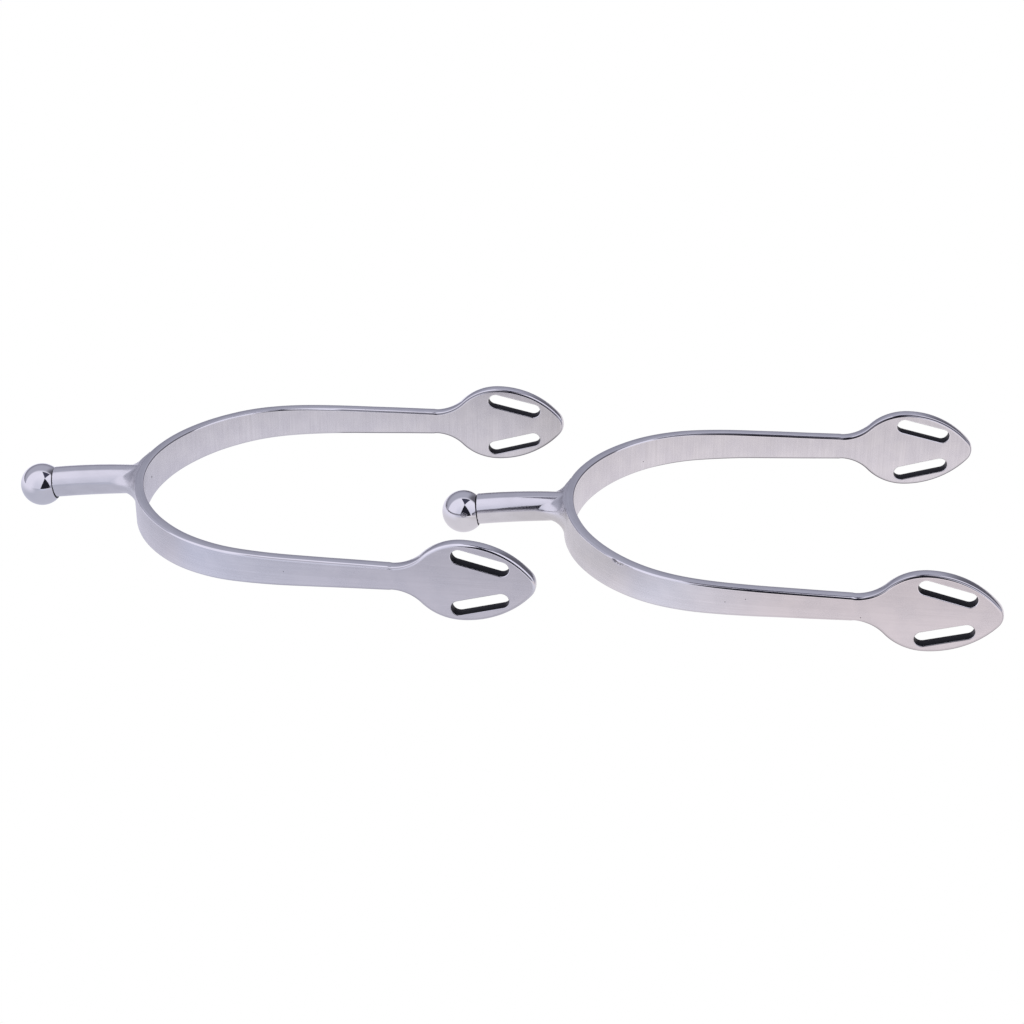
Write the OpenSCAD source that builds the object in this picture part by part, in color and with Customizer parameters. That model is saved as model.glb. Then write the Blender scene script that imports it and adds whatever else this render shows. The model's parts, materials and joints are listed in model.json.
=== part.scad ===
// A pair of plain ball-end spurs in stainless steel, laid head to tail on a flat surface.
//
// Each spur is a flat-bar heel band with slotted strap leaves, a drooping neck welded to the
// middle of the band, and a polished ball that turns on a pin pressed into the neck.
// A spur is drawn with its band level, its heel at the origin and its arms running towards +X.
// It is then tipped to lie as it rests: on the ball and on the lower edges of both leaves.
// The origin of the pair is the middle of its footprint, on the surface it lies on.

/* [Heel band] */
// Thickness of the flat bar at the middle of the heel
heel_t = 2.3; // [2:0.1:3]
// Thickness of the leaves; the bar thickens evenly towards them
leaf_t = 3; // [2.4:0.1:3.5]
// Height of the bar at the middle of the heel
heel_h = 9.7; // [8.5:0.1:12]
// Height of the bar where the arms meet the leaves
arm_h = 6.1; // [5:0.1:8]
// Bend radius round the back of the heel, to the bar's centreline
heel_r = 42; // [38:0.1:48]
// Heading of the bar, from straight across, at the end of the heel bend
heel_deg = 50; // [40:1:54]
// Bend radius at the sides of the heel
side_r = 34.7; // [30:0.1:42]
// Heading of the bar at the end of the side bend
side_deg = 80; // [72:1:84]
// Radius of the long, easy bend into the arms
easy_r = 96.5; // [80:0.5:140]
// Heading of the straight arms; 90 would make them parallel
arm_deg = 88; // [86.5:0.1:90]
// Length of each straight arm, up to its leaf
arm_l = 22; // [12:0.5:40]

/* [Strap leaves] */
// Length of a leaf, from the start of its flare to its nose
leaf_l = 33.2; // [30:0.2:38]
// Height of a leaf at its shoulders
leaf_h = 19.8; // [18:0.2:22]
// Radius of the concave flare from arm to leaf
flare_r = 9.7; // [7:0.1:11]
// Radius of the rounded shoulders
shoulder_r = 13; // [11:0.2:14]
// Radius of the nose
nose_r = 3.9; // [3:0.1:5]
// Length of a strap slot, end to end
slot_l = 13.4; // [10:0.2:14]
// Width of a strap slot
slot_w = 3.4; // [2.4:0.1:3.8]
// Distance of the slots' middles from the start of the flare
slot_x = 20.5; // [19:0.1:21]
// Height of the slots' middles above and below the middle of the leaf
slot_z = 5.3; // [4.6:0.05:5.8]
// Slant of the slots, which close towards the nose
slot_deg = 14.5; // [8:0.1:16]

/* [Neck and ball] */
// Length of the neck, from the band's outer face to the ball
neck_l = 21.1; // [14:0.1:35]
// Radius of the neck at the band
neck_root_r = 3.45; // [3:0.05:3.6]
// Radius of the neck halfway along
neck_mid_r = 3.65; // [3.3:0.05:4]
// Radius of the neck at the ball
neck_end_r = 3.7; // [3.4:0.05:4.2]
// Droop of the neck below the plane of the band
neck_deg = 5.6; // [0:0.1:12]
// Height of the neck's root above the middle of the band
neck_z = 1.2; // [0:0.05:1.3]
// Radius of the weld fillet at each side of the neck's foot
weld_r = 8.4; // [4:0.2:10]
// Radius of the ball
ball_r = 5.15; // [4.65:0.1:6.05]
// Radius of the pin that the ball turns on
pin_r = 1.2; // [1:0.1:1.5]
// Radius of the pin's head
pin_head_r = 1.8; // [1.7:0.1:2.2]
// Length of pin pressed into the neck
pin_grip = 8; // [6:0.5:10]

/* [Fits] */
// Radial running clearance of the ball on its pin
spin_gap = 0.05; // [0.02:0.01:0.1]
// Gap between the ball and the end of the neck, and under the pin's head
seam_gap = 0.12; // [0.08:0.01:0.2]

/* [Layout] */
// Distance between the two spurs, heel to heel
pair_x = 104.3; // [100:0.1:115]
// Sideways step from the left spur to the right one
pair_y = 0.6; // [-8:0.1:8]

/* [Hidden] */
$fn = 96;

steel = [0.70, 0.70, 0.74];
polished = [0.80, 0.80, 0.83];
taper_steps = 8;
plan_step_deg = 3;
edge_step_deg = 6;
profile_steps = 12;
head_share = 0.3;
spare = 2;

// Points of the arc about c from angle a to angle b, at most step degrees apart, without the one at a.
function arc(c, r, a, b, step = edge_step_deg) =
    let (n = ceil(abs(b - a) / step))
        [for (i = [1:n]) c + r * [cos(a + (b - a) * i / n), sin(a + (b - a) * i / n)]];
// The same outline mirrored in the X axis, and listed backwards so that it runs on.
function mirrored(points) =
    [for (i = [len(points) - 1:-1:0]) [points[i].x, -points[i].y]];
function reversed(points) =
    [for (i = [len(points) - 1:-1:0]) points[i]];
function without_last(points) = [for (i = [0:len(points) - 2]) points[i]];
function without_first(points) = [for (i = [1:len(points) - 1]) points[i]];
// The unit vector across the bar, out of the spur, where the bar heads at angle h.
function out(h) = [-cos(h), sin(h)];
// The unit vector along the bar, where the bar heads at angle h.
function ahead(h) = [sin(h), cos(h)];

// Centres of the three bends, and the ends of the bends and of the straight, on the +Y side.
heel_c = [heel_r, 0];
heel_end = heel_c + heel_r * out(heel_deg);
side_c = heel_end - side_r * out(heel_deg);
side_end = side_c + side_r * out(side_deg);
easy_c = side_end - easy_r * out(side_deg);
easy_end = easy_c + easy_r * out(arm_deg);
leaf_start = easy_end + arm_l * ahead(arm_deg);

// Lengths of bar up to the end of each bend, for its even taper from heel to leaf.
heel_s = heel_r * heel_deg * PI / 180;
side_s = heel_s + side_r * (side_deg - heel_deg) * PI / 180;
easy_s = side_s + easy_r * (arm_deg - side_deg) * PI / 180;
bar_s = easy_s + arm_l;
// The height and the thickness of the bar at a distance s along it from the heel.
function bar_h(s) = heel_h + (arm_h - heel_h) * s / bar_s;
function bar_t(s) = heel_t + (leaf_t - heel_t) * min(s / bar_s, 1);
// One face of a bend in plan: side is 1 for the outer face and -1 for the inner.
function bend_face(c, r, a, b, s0, side) =
    let (n = ceil((b - a) / plan_step_deg))
        [for (i = [1:n])
            let (h = a + (b - a) * i / n)
                c + (r + side * bar_t(s0 + r * (h - a) * PI / 180) / 2) * out(h)];
// One face of the bar in plan on the +Y side, from the heel to past the nose.
function bar_face(side) = concat(
    [heel_c + (heel_r + side * heel_t / 2) * out(0)],
    bend_face(heel_c, heel_r, 0, heel_deg, 0, side),
    bend_face(side_c, side_r, heel_deg, side_deg, heel_s, side),
    bend_face(easy_c, easy_r, side_deg, arm_deg, side_s, side),
    [for (l = [0, leaf_l + spare]) leaf_start + l * ahead(arm_deg) + side * leaf_t / 2 * out(arm_deg)]
);
outer_half = bar_face(1);
inner_half = bar_face(-1);
outer_face = concat(mirrored(without_first(outer_half)), outer_half);
inner_face = concat(mirrored(without_first(inner_half)), inner_half);

// The upper edge of the bar in side view: [x, z] at n steps along one bend.
function bend_edge(c, r, a, b, s0, n = taper_steps) = [
    for (i = [1:n])
        let (h = a + (b - a) * i / n)
            [(c + r * out(h)).x, bar_h(s0 + r * (h - a) * PI / 180) / 2]
];

// The upper edge of a leaf in side view: flare, shoulder, side and nose are tangent arcs.
leaf_x = leaf_start.x;
flare_rise = arm_h / 2 + flare_r - leaf_h / 2 + shoulder_r;
shoulder_x = leaf_x + sqrt(pow(shoulder_r + flare_r, 2) - pow(flare_rise, 2));
flare_c = [leaf_x, arm_h / 2 + flare_r];
shoulder_c = [shoulder_x, leaf_h / 2 - shoulder_r];
flare_deg = atan2(flare_c.y - shoulder_c.y, shoulder_c.x - flare_c.x);
nose_c = [leaf_x + leaf_l - nose_r, 0];
flank_r = (pow(nose_c.x - shoulder_x, 2) + pow(leaf_h / 2, 2) - pow(nose_r, 2)) / (leaf_h - 2 * nose_r);
flank_c = [shoulder_x, leaf_h / 2 - flank_r];
nose_deg = atan2(nose_c.y - flank_c.y, nose_c.x - flank_c.x);
leaf_edge = concat(
    [[leaf_x, arm_h / 2]],
    arc(flare_c, flare_r, -90, -flare_deg),
    arc(shoulder_c, shoulder_r, 180 - flare_deg, 90),
    arc(flank_c, flank_r, 90, nose_deg),
    arc(nose_c, nose_r, nose_deg, 0)
);
upper_edge = concat(
    [[-heel_t, heel_h / 2], [0, heel_h / 2]],
    bend_edge(heel_c, heel_r, 0, heel_deg, 0),
    bend_edge(side_c, side_r, heel_deg, side_deg, heel_s),
    bend_edge(easy_c, easy_r, side_deg, arm_deg, side_s),
    leaf_edge
);
lower_edge = mirrored(without_last(upper_edge));

// The neck's axis starts in the middle of the bar; distances along it are counted from there.
neck_start = heel_t / 2;
neck_end = neck_start + neck_l;
ball_x = neck_end + seam_gap + sqrt(pow(ball_r, 2) - pow(neck_end_r, 2));
ball_c = [-ball_x * cos(neck_deg), 0, neck_z - ball_x * sin(neck_deg)];

// The lie of a spur: the tilt that puts the ball and the leaves' lower shoulders on one plane.
rest_from_ball = [shoulder_c.x - ball_c.x, ball_c.z + shoulder_c.y];
rest_deg = acos((ball_r - shoulder_r) / norm(rest_from_ball)) - atan2(rest_from_ball.x, rest_from_ball.y);
rest_z = ball_r - ball_c.x * sin(rest_deg) - ball_c.z * cos(rest_deg);
// Reach of a resting spur behind and ahead of its heel, which centres the pair.
reach_back = ball_c.x * cos(rest_deg) - ball_c.z * sin(rest_deg) - ball_r;
reach_ahead = nose_c.x * cos(rest_deg) + nose_r;
left_x = -(reach_back + pair_x + reach_ahead) / 2;
left_y = -pair_y / 2;

// ---- placing ----

module lie_at(x, y) {
    translate([x, y, rest_z])
        rotate([0, -rest_deg, 0])
            children();
}

module at_left() {
    lie_at(left_x, left_y) children();
}

module at_right() {
    lie_at(left_x + pair_x, left_y + pair_y) children();
}

// Puts a shape drawn up +Z on the neck's axis, pointing towards the ball.
module along_neck(d = 0) {
    translate([0, 0, neck_z])
        rotate([0, -90 - neck_deg, 0])
            translate([0, 0, d])
                children();
}

// Draws a side view, in X and Z, as a prism through both arms.
module through_arms(width) {
    rotate([90, 0, 0])
        linear_extrude(height = width, center = true)
            children();
}

// ---- heel band ----

// The bent bar in plan, and all that lies inside its outer face.
module plan_view() {
    polygon(concat(outer_face, reversed(inner_face)));
}

module inside_view() {
    polygon(outer_face);
}

// The taper of the bar and the outline of the leaves, seen from the side.
module side_view() {
    polygon(concat(upper_edge, lower_edge));
}

// A plan view at a height that leaves room for the side view to trim it.
module full_height() {
    linear_extrude(height = 2 * leaf_h, center = true)
        children();
}

module slot() {
    square([slot_l - slot_w, slot_w], center = true);
    for (end = [-1, 1])
        translate([end * (slot_l - slot_w) / 2, 0])
            circle(d = slot_w);
}

module heel_band() {
    difference() {
        intersection() {
            full_height() plan_view();
            through_arms(4 * heel_r) side_view();
        }
        for (side = [-1, 1])
            through_arms(4 * heel_r)
                translate([leaf_x + slot_x, side * slot_z])
                    rotate(-side * slot_deg)
                        slot();
    }
}

// ---- neck ----

// Radius of the neck at a share u of its length, through the three stated radii.
function neck_r(u) =
    neck_root_r * (1 - u) * (1 - 2 * u) + 4 * neck_mid_r * u * (1 - u) + neck_end_r * u * (2 * u - 1);

// The weld fillet is tangent to the neck's side and to the outside of the heel bend.
weld_c = [
    heel_r - sqrt(pow(heel_r + heel_t / 2 + weld_r, 2) - pow(neck_root_r + weld_r, 2)),
    neck_root_r + weld_r
];
weld_deg = asin(weld_c.y / (heel_r + heel_t / 2 + weld_r));
weld_u = (-weld_c.x - neck_start) / neck_l;
weld_foot = [weld_c.y, -weld_c.x] + weld_r * [cos(270 - weld_deg), sin(270 - weld_deg)];

// Half the neck's outline, as [radius, distance along the axis].
function neck_outline() = concat(
    [[0, -neck_start]],
    [weld_foot],
    arc([weld_c.y, -weld_c.x], weld_r, 270 - weld_deg, 180),
    [for (i = [1:profile_steps]) let (u = weld_u + (1 - weld_u) * i / profile_steps)
        [neck_r(u), neck_start + u * neck_l]],
    [[0, neck_end]]
);

module neck() {
    difference() {
        along_neck()
            rotate_extrude()
                polygon(neck_outline());
        full_height() inside_view();
        for (side = [0, 1])
            mirror([0, 0, side])
                translate([weld_c.x, -2 * weld_r, heel_h / 2])
                    cube([2 * weld_r, 4 * weld_r, leaf_h]);
        along_neck(neck_end - pin_grip)
            cylinder(r = pin_r, h = pin_grip + spare);
    }
}

// ---- ball and pin ----

// How deep the pin's head sits in the ball.
head_depth = head_share * ball_r;

module ball() {
    difference() {
        along_neck(ball_x)
            sphere(r = ball_r);
        along_neck(ball_x - 2 * ball_r)
            cylinder(r = ball_r, h = 2 * ball_r - (ball_x - neck_end) + seam_gap);
        along_neck(neck_end)
            cylinder(r = pin_r + spin_gap, h = 2 * ball_r + spare);
        along_neck(ball_x + ball_r - head_depth)
            cylinder(r = pin_head_r + spin_gap, h = head_depth + spare);
    }
}

module ball_pin() {
    along_neck(neck_end - pin_grip)
        cylinder(r = pin_r, h = pin_grip + ball_x - neck_end + ball_r - head_depth + 2 * seam_gap);
    intersection() {
        along_neck(ball_x + ball_r - head_depth + seam_gap)
            cylinder(r = pin_head_r, h = head_depth + spare);
        along_neck(ball_x)
            sphere(r = ball_r);
    }
}

// ---- the two spurs ----

module left_heel_band() {
    color(steel) at_left() heel_band();
}

module left_neck() {
    color(polished) at_left() neck();
}

module left_ball() {
    color(polished) at_left() ball();
}

module left_ball_pin() {
    color(polished) at_left() ball_pin();
}

module right_heel_band() {
    color(steel) at_right() heel_band();
}

module right_neck() {
    color(polished) at_right() neck();
}

module right_ball() {
    color(polished) at_right() ball();
}

module right_ball_pin() {
    color(polished) at_right() ball_pin();
}

left_heel_band();
left_neck();
left_ball();
left_ball_pin();
right_heel_band();
right_neck();
right_ball();
right_ball_pin();
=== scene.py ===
"""The finished look of a pair of ball-end spurs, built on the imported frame.

Every shape is drawn in millimetres on a spur whose heel is at the origin, whose band is level and
whose arms run towards +X. It is then laid where the frame has that spur.
"""
import json
import math

import bpy
import numpy as np
from mathutils import Matrix, Vector
from mathutils.geometry import delaunay_2d_cdt


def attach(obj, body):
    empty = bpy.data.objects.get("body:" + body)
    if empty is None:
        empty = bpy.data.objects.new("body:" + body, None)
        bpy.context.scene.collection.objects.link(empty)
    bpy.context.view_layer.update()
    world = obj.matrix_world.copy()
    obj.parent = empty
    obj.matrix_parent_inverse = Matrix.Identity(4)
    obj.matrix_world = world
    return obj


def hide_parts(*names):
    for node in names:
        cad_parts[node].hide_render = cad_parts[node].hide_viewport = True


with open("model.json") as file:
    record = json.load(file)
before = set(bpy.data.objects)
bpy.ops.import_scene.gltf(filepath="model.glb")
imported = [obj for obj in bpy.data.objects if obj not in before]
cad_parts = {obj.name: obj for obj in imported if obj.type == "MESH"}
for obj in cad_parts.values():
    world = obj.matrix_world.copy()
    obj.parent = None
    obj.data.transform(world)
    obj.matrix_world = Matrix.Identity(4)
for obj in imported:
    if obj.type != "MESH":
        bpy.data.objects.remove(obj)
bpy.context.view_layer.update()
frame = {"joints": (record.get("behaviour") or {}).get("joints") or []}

MM = 0.001
SEED = 7
SIDES = ("left", "right")

# ---- driving sizes, in millimetres and degrees, as the part has them ----

HEEL_T = 2.3
LEAF_T = 3
HEEL_H = 9.7
ARM_H = 6.1
HEEL_R = 42
HEEL_DEG = 50
SIDE_R = 34.7
SIDE_DEG = 80
EASY_R = 96.5
ARM_DEG = 88
ARM_L = 22
LEAF_L = 33.2
LEAF_H = 19.8
FLARE_R = 9.7
SHOULDER_R = 13
NOSE_R = 3.9
SLOT_L = 13.4
SLOT_W = 3.4
SLOT_X = 20.5
SLOT_Z = 5.3
SLOT_DEG = 14.5
NECK_L = 21.1
NECK_ROOT_R = 3.45
NECK_MID_R = 3.65
NECK_END_R = 3.7
NECK_DEG = 5.6
NECK_Z = 1.2
WELD_R = 8.4
BALL_R = 5.15
PIN_R = 1.2
PIN_HEAD_R = 1.8
PIN_GRIP = 8
SPIN_GAP = 0.05
SEAM_GAP = 0.12
HEAD_DEPTH = BALL_R * 0.3

# ---- details of the surfaces, in millimetres, degrees and counts ----

# The bar's long edges: their radius at the heel and on the leaves, and the distances between which it grows.
HEEL_EDGE = 0.45
LEAF_EDGE = 0.75
EDGE_GROWS = (40, 72)
EDGE_RINGS = 6
# What is left of an edge between its rounded corners leans this far to either side.
CROWN_DEG = 9
CROWN_RINGS = 4
# The slots' rims: their radius, and how far round them the black wall starts.
SLOT_EDGE = 0.22
WALL_FROM = 44
# How gently the bends and the bar's taper start and stop.
BEND_BLUR = 2.0
HEEL_BLUR = 5
# Waves that hand finishing left in the faces and along the outline.
WAVE = 0.012
WAVE_COUNT = 7
WAVE_RATES = (0.12, 0.5)
WAVE_SLANT = 0.25
OUTLINE_WAVE = 0.02
OUTLINE_RATES = (17, 29, 41)
# Spacing of points along the outline and over the faces, and the least gap between the two.
PITCH = 0.45
GRID = 1.0
ROW_SPACING = 0.87 * GRID
RIM_GAP = 0.7 * PITCH
# Rings of points over a dent: their number, the points in one (so many, and more for each ring further
# out), and their spacing and whole reach in dent radii.
DENT_RINGS = 9
DENT_LEAST = 6
DENT_MORE = 5
DENT_STEP = 0.28
DENT_REACH = 2.7
# The neck and its weld: counts of points, the bow's two terms, and the weld's radii, sink and trim.
NECK_TURN = 320
NECK_RINGS = 60
FILLET_RINGS = 26
BOW_RISE = 1.63
BOW_FALL = 1.18
WELD_TOP_R = 0.7
WELD_BELOW_R = 2.9
WELD_SHARPNESS = 1.5
WELD_SINK = 0.55
WELD_FLUSH = 0.16
TRIM_SOFT = 0.09
# The bevel at the neck's end: its size, how ragged it is everywhere and at most below, and its least
# size, then its rings, how many of them are dirty, a ring round the pin's bore and the bore's lip.
SEAM_BEVEL = 0.19
SEAM_RAGGED = 0.08
SEAM_RAGGED_LOW = 0.2
SEAM_LEAST = 0.04
SEAM_RATES = (5, 11, 23, 37)
SEAM_RINGS = 5
DIRTY_RINGS = 3
SEAM_FACE = 0.3
BORE_LIP = 0.01
# The ball and the pin: counts of points, small radii, the room that a pressed pin is drawn with, how far
# the recess's rim is below the ball's skin and set back from it in degrees, and the pin's two ends, which
# stop just short of the axis.
ROUND_TURN = 160
BALL_ROWS = 90
DOME_ROWS = 20
CORNER_ROWS = 5
BALL_RIM = 0.1
HEAD_RIM = 0.06
RECESS_RIM = 0.05
PIN_CHAMFER = 0.2
PRESS = 0.004
LIP_DROP = 0.04
LIP_DEG = 0.6
AXIS_R = 0.01
POLE_DEG = 89.9

# ---- the heading of the bar along its length ----

HEEL_S = HEEL_R * math.radians(HEEL_DEG)
SIDE_S = HEEL_S + SIDE_R * math.radians(SIDE_DEG - HEEL_DEG)
EASY_S = SIDE_S + EASY_R * math.radians(ARM_DEG - SIDE_DEG)
BAR_S = EASY_S + ARM_L
TIP_S = BAR_S + LEAF_L
TABLE_STEP = 0.1
TABLE_SPARE = 5
TABLE_COUNT = round((TIP_S + TABLE_SPARE) / TABLE_STEP)
TABLE_S = np.arange(-TABLE_COUNT, TABLE_COUNT + 1) * TABLE_STEP


def softened(values, blur):
    """A table's values averaged over neighbours, with the ends held."""
    reach = int(4 * blur / TABLE_STEP)
    offsets = np.arange(-reach, reach + 1) * TABLE_STEP
    weights = np.exp(-0.5 * (offsets / blur) ** 2)
    padded = np.pad(values, reach, mode="edge")
    return np.convolve(padded, weights / weights.sum(), mode="valid")


def summed(values):
    """The running integral of a table, counted from its middle."""
    steps = (values[1:] + values[:-1]) / 2 * TABLE_STEP
    total = np.concatenate([[0], np.cumsum(steps)])
    return total - total[len(total) // 2]


PLAIN_H = np.interp(np.abs(TABLE_S), (0, HEEL_S, SIDE_S, EASY_S), (0, HEEL_DEG, SIDE_DEG, ARM_DEG))
TABLE_H = np.radians(softened(np.sign(TABLE_S) * PLAIN_H, BEND_BLUR))
TABLE_X = summed(np.sin(TABLE_H))
TABLE_Y = summed(np.cos(TABLE_H))


def heading(s):
    """The bar's heading, in radians from straight across."""
    return np.interp(s, TABLE_S, TABLE_H)


def bend(s, n, z):
    """Points of the flat blank, at s along it, n out of it and z up it, on the bent band."""
    h = heading(s)
    x = np.interp(s, TABLE_S, TABLE_X) - n * np.cos(h)
    y = np.interp(s, TABLE_S, TABLE_Y) + n * np.sin(h)
    return np.stack([x, y, z], axis=-1)


def bend_direction(s, along, out, up):
    """Directions given on the flat blank, turned with the band."""
    h = heading(s)
    x = along * np.sin(h) - out * np.cos(h)
    y = along * np.cos(h) + out * np.sin(h)
    return unit(np.stack([x, y, up + 0 * s], axis=-1))


def unit(vectors):
    """The same directions with length one."""
    return vectors / np.linalg.norm(vectors, axis=-1, keepdims=True)


def bar_height(s):
    """Height of the bar, tapering evenly from the heel to the leaves, eased at the heel."""
    eased = np.sqrt(np.square(s) + HEEL_BLUR ** 2) - HEEL_BLUR
    return HEEL_H + (ARM_H - HEEL_H) * np.minimum(eased / BAR_S, 1)


def half_thickness(s):
    """Half the bar's thickness, growing evenly from the heel to the leaves."""
    eased = np.sqrt(np.square(s) + HEEL_BLUR ** 2) - HEEL_BLUR
    return (HEEL_T + (LEAF_T - HEEL_T) * np.minimum(eased / BAR_S, 1)) / 2


def edge_radius(s):
    """Radius that the bar's long edges are rounded to: crisp at the heel, soft on the leaves."""
    share = np.clip((np.abs(s) - EDGE_GROWS[0]) / (EDGE_GROWS[1] - EDGE_GROWS[0]), 0, 1)
    return HEEL_EDGE + (LEAF_EDGE - HEEL_EDGE) * share * share * (3 - 2 * share)


# ---- outline of the flat blank ----

def arc(centre, radius, start, end):
    """Points of an arc from one angle to another, in degrees, without its first point."""
    count = max(2, math.ceil(radius * math.radians(abs(end - start)) / (PITCH / 2)))
    angles = np.radians(start + (end - start) * np.arange(1, count + 1) / count)
    return np.stack([centre[0] + radius * np.cos(angles), centre[1] + radius * np.sin(angles)], axis=-1)


def leaf_edge():
    """The upper edge of a leaf, by tangent arcs: flare, shoulder, flank and nose."""
    reach = SHOULDER_R + FLARE_R
    rise = ARM_H / 2 + FLARE_R - LEAF_H / 2 + SHOULDER_R
    flare = (BAR_S, ARM_H / 2 + FLARE_R)
    shoulder = (BAR_S + math.sqrt(reach ** 2 - rise ** 2), LEAF_H / 2 - SHOULDER_R)
    flare_deg = math.degrees(math.atan2(rise, shoulder[0] - flare[0]))
    nose = (TIP_S - NOSE_R, 0)
    span = nose[0] - shoulder[0]
    flank_r = (span ** 2 + (LEAF_H / 2) ** 2 - NOSE_R ** 2) / (LEAF_H - 2 * NOSE_R)
    flank = (shoulder[0], LEAF_H / 2 - flank_r)
    nose_deg = math.degrees(math.atan2(nose[1] - flank[1], span))
    return np.concatenate([
        arc(flare, FLARE_R, -90, -flare_deg),
        arc(shoulder, SHOULDER_R, 180 - flare_deg, 90),
        arc(flank, flank_r, 90, nose_deg),
        arc(nose, NOSE_R, nose_deg, 0),
    ])


def resampled(loop):
    """The same closed loop with its points evenly spaced."""
    closed = np.concatenate([loop, loop[:1]])
    run = np.concatenate([[0], np.cumsum(np.linalg.norm(np.diff(closed, axis=0), axis=1))])
    count = int(round(run[-1] / PITCH))
    at = np.arange(count) * run[-1] / count
    return np.stack([np.interp(at, run, closed[:, 0]), np.interp(at, run, closed[:, 1])], axis=-1)


def left_of(loop):
    """The direction to the left of a closed loop's heading, at each of its points."""
    ahead = unit(np.roll(loop, -1, axis=0) - np.roll(loop, 1, axis=0))
    return np.stack([-ahead[:, 1], ahead[:, 0]], axis=-1)


def outline(rng):
    """The blank's outline, run so that the outside is on the left, as ground by hand."""
    s = np.arange(0, BAR_S, PITCH)
    quarter = np.concatenate([np.stack([s, bar_height(s) / 2], axis=-1), leaf_edge()])
    under = quarter[::-1] * (1, -1)
    loop = np.concatenate([quarter, under[1:], (quarter * (-1, -1))[1:], (under * (-1, -1))[1:-1]])
    loop = resampled(loop)
    turn = np.arange(len(loop)) * 2 * math.pi / len(loop)
    wave = sum(np.sin(k * turn + rng.uniform(0, 2 * math.pi)) for k in OUTLINE_RATES) / len(OUTLINE_RATES)
    return loop + left_of(loop) * (OUTLINE_WAVE * wave)[:, None]


def slot_loop(end, level):
    """A strap slot's loop, run so that the hole is on the left."""
    half = (SLOT_L - SLOT_W) / 2
    loop = np.concatenate([arc((half, 0), SLOT_W / 2, -90, 90), arc((-half, 0), SLOT_W / 2, 90, 270)])
    loop = resampled(loop)
    slant = math.radians(-level * SLOT_DEG)
    s = BAR_S + SLOT_X + loop[:, 0] * math.cos(slant) - loop[:, 1] * math.sin(slant)
    z = level * SLOT_Z + loop[:, 0] * math.sin(slant) + loop[:, 1] * math.cos(slant)
    placed = np.stack([end * s, z], axis=-1)
    return placed if end > 0 else placed[::-1]


# ---- marks and waves on the faces ----

class Dent:
    """A small hollow in one face of the blank."""

    def __init__(self, face, s, z, radius, depth, painted_darkness=1.0):
        self.face = face
        self.s = s
        self.z = z
        self.radius = radius
        self.depth = depth
        self.painted_darkness = painted_darkness

    def depth_at(self, s, z):
        """The hollow's depth at places on the blank."""
        away = (np.square(s - self.s) + np.square(z - self.z)) / self.radius ** 2
        return self.depth * np.exp(-away)


OUTER = 1
INNER = -1
# The hollows are real relief; painted shade darkens each one, most at its deepest, scaled by a sixth number
# where given.
DENTS = {
    "left": (
        Dent(INNER, 0.028 * BAR_S, 0.56, 0.32, 0.14),
        Dent(OUTER, -0.728 * BAR_S, 0.2, 0.12, 0.03),
    ),
    "right": (
        Dent(INNER, 0.418 * BAR_S, -1.6, 0.16, 0.06),
        Dent(OUTER, -1.019 * BAR_S, -1.9, 0.13, 0.04),
        Dent(OUTER, -0.684 * BAR_S, -0.1, 0.12, 0.04),
        Dent(OUTER, -0.734 * BAR_S, 1.0, 0.12, 0.04),
        Dent(OUTER, -0.376 * BAR_S, 3.85, 0.26, 0.14),
        Dent(OUTER, -0.381 * BAR_S, 3.8, 0.34, 0.18),
        Dent(OUTER, -0.386 * BAR_S, 3.7, 0.34, 0.16),
        Dent(OUTER, -0.394 * BAR_S, 3.5, 0.4, 0.09, 0.6),
        Dent(OUTER, -0.402 * BAR_S, 3.5, 0.42, 0.08, 0.62),
        Dent(OUTER, -0.410 * BAR_S, 3.6, 0.34, 0.06, 0.6),
    ),
}


def waves(rng):
    """Long shallow waves left by hand finishing, as (s rate, z rate, phase) rows."""
    along = rng.uniform(*WAVE_RATES, WAVE_COUNT)
    up = rng.uniform(-WAVE_SLANT, WAVE_SLANT, WAVE_COUNT)
    phase = rng.uniform(0, 2 * math.pi, WAVE_COUNT)
    return list(zip(along, up, phase))


def relief(s, z, face, dents, ripple):
    """Height of a face's surface above the true flat, in millimetres."""
    height = sum(np.sin(a * s + b * z + c) for a, b, c in ripple) * WAVE / len(ripple)
    for dent in dents:
        if dent.face == face:
            height = height - dent.depth_at(s, z)
    return height


# Painted shade: dark lines painted along the rounded corners beside a face, standing for dark surroundings
# that the corners mirror:
# (face, first s, last s, degrees round the corner from the face, darkness). They fade over the width in
# degrees and the length in mm below.
PAINTED_CORNER_SHADE = {
    "left": (
        (INNER, 0.68 * BAR_S, 1.4 * BAR_S, 32, 0.75),
        (OUTER, -1.12 * BAR_S, -0.58 * BAR_S, 36, 0.55),
    ),
    "right": (
        (INNER, 0.42 * BAR_S, 1.4 * BAR_S, 38, 0.9),
        (OUTER, -0.74 * BAR_S, -0.54 * BAR_S, 50, 0.7),
        (OUTER, -1.4 * BAR_S, -0.98 * BAR_S, 42, 0.75),
    ),
}
SHADE_LINE_WIDE = 16
SHADE_LINE_END = 5


def corner_painted_shade(s, degrees, face, lines):
    """How much painted shade a row of a rounded corner gets, from 0 to 1."""
    painted_darkness = 0 * s
    for side, first, last, centre, most in lines:
        if side == face:
            leaning = min(degrees, 180 - degrees)
            near = math.exp(-((leaning - centre) / SHADE_LINE_WIDE) ** 2)
            ends = np.clip(np.minimum(s - first, last - s) / SHADE_LINE_END, 0, 1)
            painted_darkness = np.maximum(painted_darkness, most * near * ends)
    return painted_darkness


def painted_shades(s, z, face, dents):
    """How much painted shade each point of a face gets, from 0 to 1, by its depth in a dent."""
    deep = 0 * s
    for dent in dents:
        if dent.face == face:
            deep = np.maximum(deep, dent.depth_at(s, z) / dent.depth * dent.painted_darkness)
    return deep


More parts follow.
